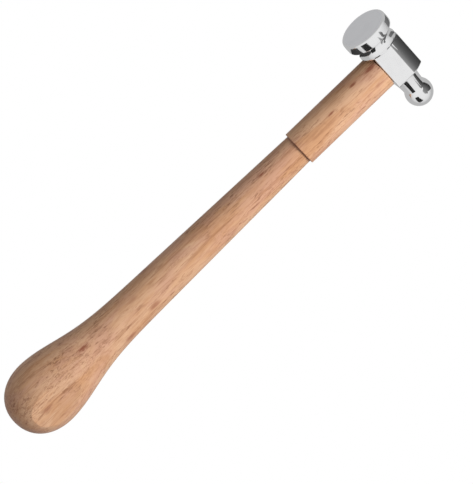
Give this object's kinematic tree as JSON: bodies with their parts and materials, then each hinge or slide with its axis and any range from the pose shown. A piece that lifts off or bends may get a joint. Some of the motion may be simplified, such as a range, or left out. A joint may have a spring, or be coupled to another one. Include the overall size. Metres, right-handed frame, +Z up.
{
  "type": "ball peen hammer",
  "caption": "Small ball peen hammer: polished steel head with a broad round face and a ball, wedged on a turned beech handle that swells to a bulb with flats.",
  "frame": {"origin": "middle of the underside of the bounding box, on the surface that the hammer lies on", "axes": "+X along the handle from the butt to the head, +Y towards the striking face, +Z up; the hammer lies on its disc rim, its ball and the flat of its bulb, so the tool's own axes are tipped about 7 degrees around X and 2 degrees around Y"},
  "size_m": [0.227, 0.047, 0.0291],
  "materials": {
    "polished_steel": "mirror polish with a satin ground striking face",
    "beech": "satin clear coat over fine-flecked beech",
    "wedge_wood": "bare end grain",
    "wedge_steel": "bright drawn steel, filed flush"
  },
  "bodies": {
    "root": {"steel_head": "polished_steel", "beech_handle": "beech", "wooden_wedge": "wedge_wood", "steel_wedge": "wedge_steel"}
  },
  "joints": []
}
